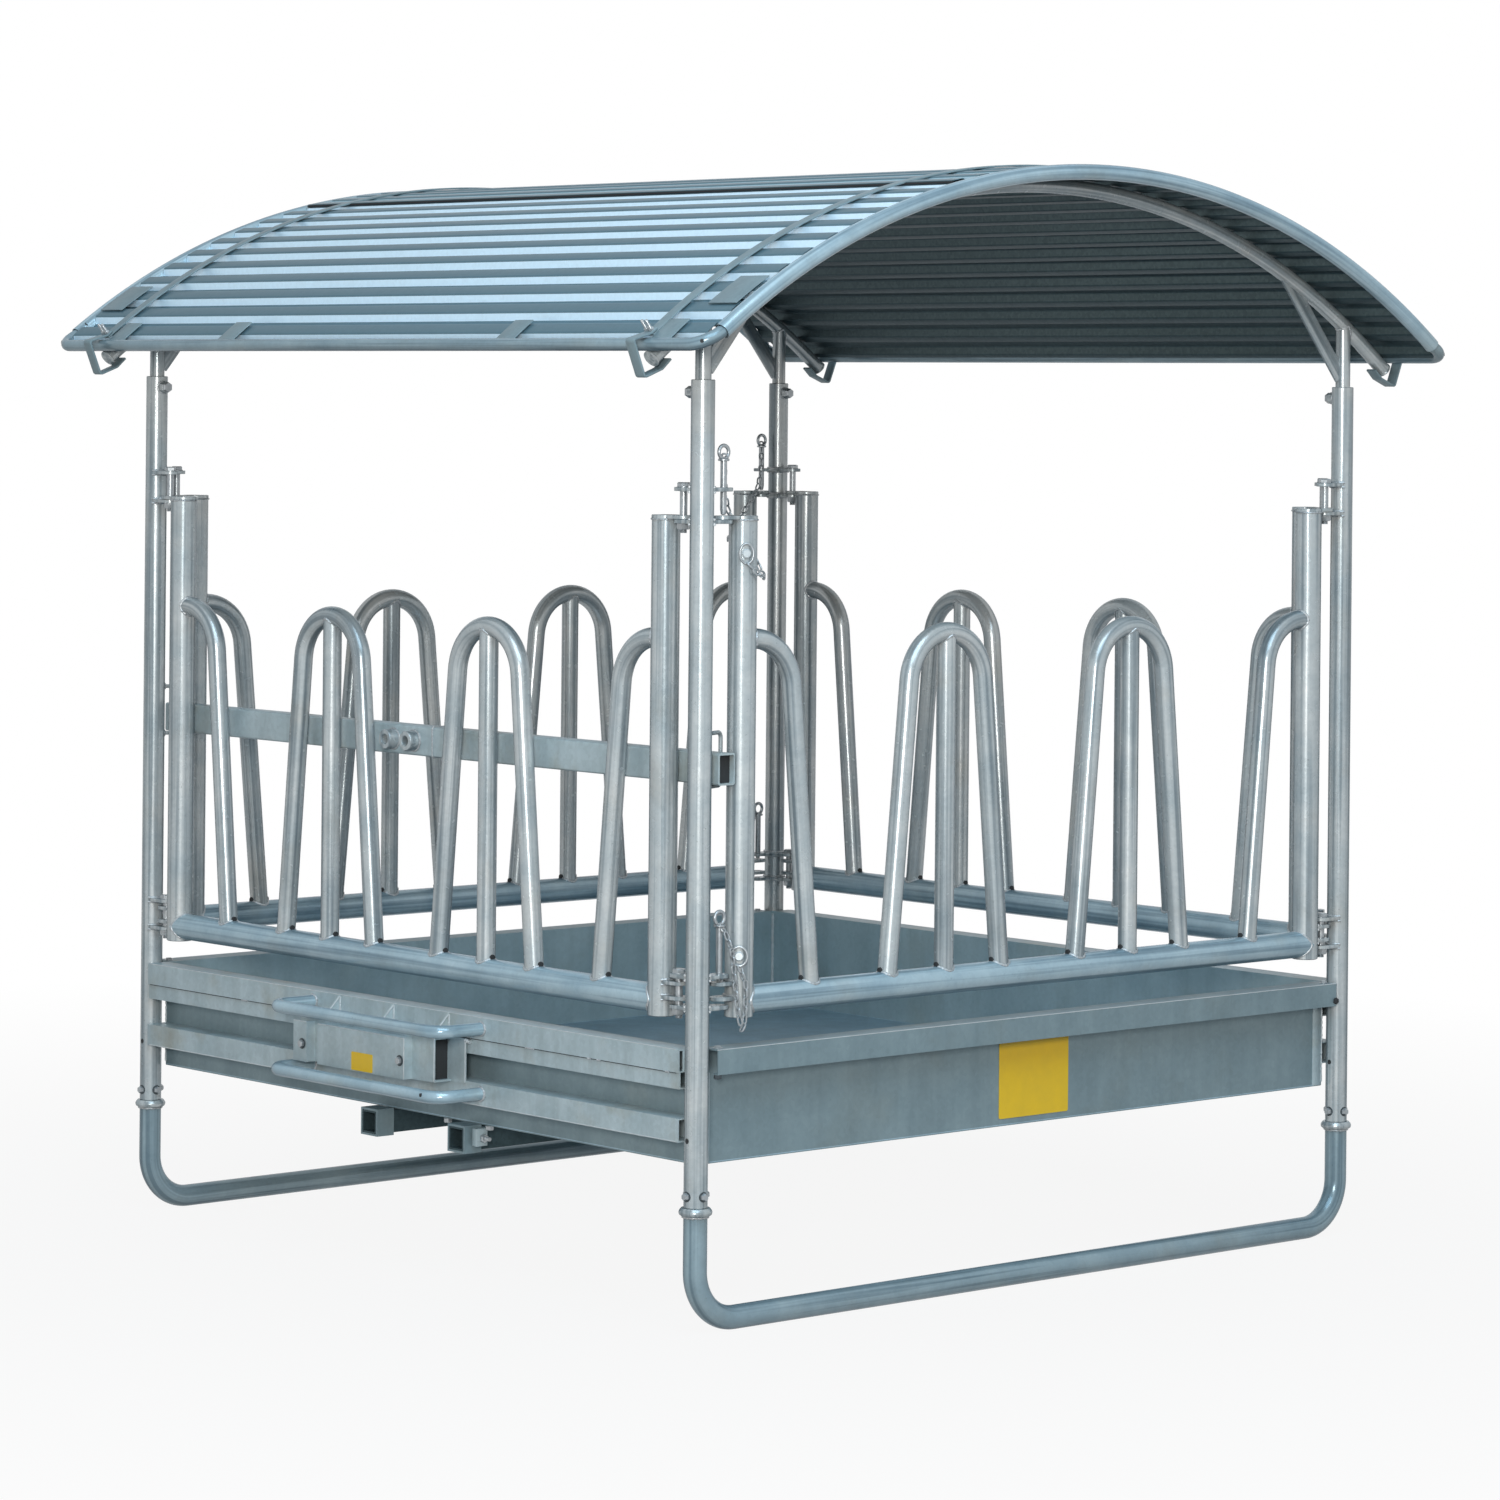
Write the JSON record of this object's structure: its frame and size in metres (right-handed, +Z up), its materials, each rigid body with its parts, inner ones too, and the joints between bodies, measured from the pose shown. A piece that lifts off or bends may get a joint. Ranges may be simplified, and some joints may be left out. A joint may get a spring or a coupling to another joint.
{
  "type": "hay bale feeder",
  "caption": "Roofed square hay feeder: raised trough on skids, arched feeding panels, swinging gates with latch pins and a corrugated barrel roof on telescoping legs.",
  "frame": {"origin": "on the ground under the middle of the feeder", "axes": "+Z up, -Y out of the front gate, -X out of the hitch side, skids along X"},
  "size_m": [2.3568, 2.35, 2.4376],
  "materials": {
    "galvanised_tube": "hot-dip galvanised, weathered",
    "galvanised_sheet": "hot-dip galvanised, matt",
    "roof_steel": "galvanised profiled sheet, satin",
    "zinc_plated": "bright zinc plated"
  },
  "bodies": {
    "base": {"corner_post_near": "galvanised_tube", "corner_post_right": "galvanised_tube", "corner_post_far": "galvanised_tube", "corner_post_left": "galvanised_tube", "skid_front": "galvanised_tube", "skid_back": "galvanised_tube", "trough_tray": "galvanised_sheet", "side_rail_upper_right": "galvanised_sheet", "side_rail_upper_left": "galvanised_sheet", "side_rail_lower_right": "galvanised_sheet", "side_rail_lower_left": "galvanised_sheet", "fork_sleeve_far": "galvanised_sheet", "fork_sleeve_near": "galvanised_sheet", "fork_tube_far": "galvanised_tube", "fork_tube_near": "galvanised_tube", "hitch_box": "galvanised_sheet", "hitch_cover": "galvanised_sheet", "bumper_upper": "galvanised_tube", "bumper_lower": "galvanised_tube", "right_panel_frame": "galvanised_tube", "right_panel_arch_1": "galvanised_tube", "right_panel_arch_2": "galvanised_tube", "right_panel_middle_bar_1": "galvanised_tube", "right_panel_middle_bar_2": "galvanised_tube", "left_panel_frame": "galvanised_tube", "left_panel_arch_1": "galvanised_tube", "left_panel_arch_2": "galvanised_tube", "left_panel_middle_bar_1": "galvanised_tube", "left_panel_middle_bar_2": "galvanised_tube"},
    "front_gate": {"front_gate_frame": "galvanised_tube", "front_gate_arch_1": "galvanised_tube", "front_gate_arch_2": "galvanised_tube", "front_gate_middle_bar_1": "galvanised_tube", "front_gate_middle_bar_2": "galvanised_tube"},
    "back_gate": {"back_gate_frame": "galvanised_tube", "back_gate_arch_1": "galvanised_tube", "back_gate_arch_2": "galvanised_tube", "back_gate_middle_bar_1": "galvanised_tube", "back_gate_middle_bar_2": "galvanised_tube"},
    "latch_pin_front_top_body": {"latch_pin_front_top": "zinc_plated"},
    "latch_pin_front_low_body": {"latch_pin_front_low": "zinc_plated"},
    "latch_pin_back_top_body": {"latch_pin_back_top": "zinc_plated"},
    "latch_pin_back_low_body": {"latch_pin_back_low": "zinc_plated"},
    "roof": {"roof_sheet_left": "roof_steel", "roof_sheet_right": "roof_steel", "eave_tube_right": "galvanised_tube", "eave_tube_left": "galvanised_tube", "roof_truss_front": "galvanised_tube", "end_arch_front": "galvanised_tube", "roof_strap_front": "galvanised_sheet", "tension_hook_front_right": "galvanised_sheet", "tension_hook_front_left": "galvanised_sheet", "roof_truss_back": "galvanised_tube", "end_arch_back": "galvanised_tube", "roof_strap_back": "galvanised_sheet", "tension_hook_back_right": "galvanised_sheet", "tension_hook_back_left": "galvanised_sheet"},
    "carrying_bar_body": {"carrying_bar": "galvanised_tube"}
  },
  "joints": [
    {"name": "front_gate_swing", "type": "hinge", "parent": "base", "child": "front_gate", "pos_m": [0.922, -0.98, 1.2], "axis": [0, 0, 1], "range_deg": [0, 105]},
    {"name": "back_gate_swing", "type": "hinge", "parent": "base", "child": "back_gate", "pos_m": [-0.922, 0.98, 1.2], "axis": [0, 0, 1], "range_deg": [0, 105]},
    {"name": "latch_front_top_slide", "type": "slide", "parent": "base", "child": "latch_pin_front_top_body", "axis": [0, 0, 1], "range_m": [-0.0542, 0]},
    {"name": "latch_front_low_slide", "type": "slide", "parent": "base", "child": "latch_pin_front_low_body", "axis": [0, 0, 1], "range_m": [-0.0962, 0]},
    {"name": "latch_back_top_slide", "type": "slide", "parent": "base", "child": "latch_pin_back_top_body", "axis": [0, 0, 1], "range_m": [-0.0542, 0]},
    {"name": "latch_back_low_slide", "type": "slide", "parent": "base", "child": "latch_pin_back_low_body", "axis": [0, 0, 1], "range_m": [-0.0962, 0]},
    {"name": "roof_lift", "type": "slide", "parent": "base", "child": "roof", "axis": [0, 0, 1], "range_m": [0, 0.25]},
    {"name": "carrying_bar_slide", "type": "slide", "parent": "base", "child": "carrying_bar_body", "axis": [0, 1, 0], "range_m": [-0.025, 0.01]}
  ]
}
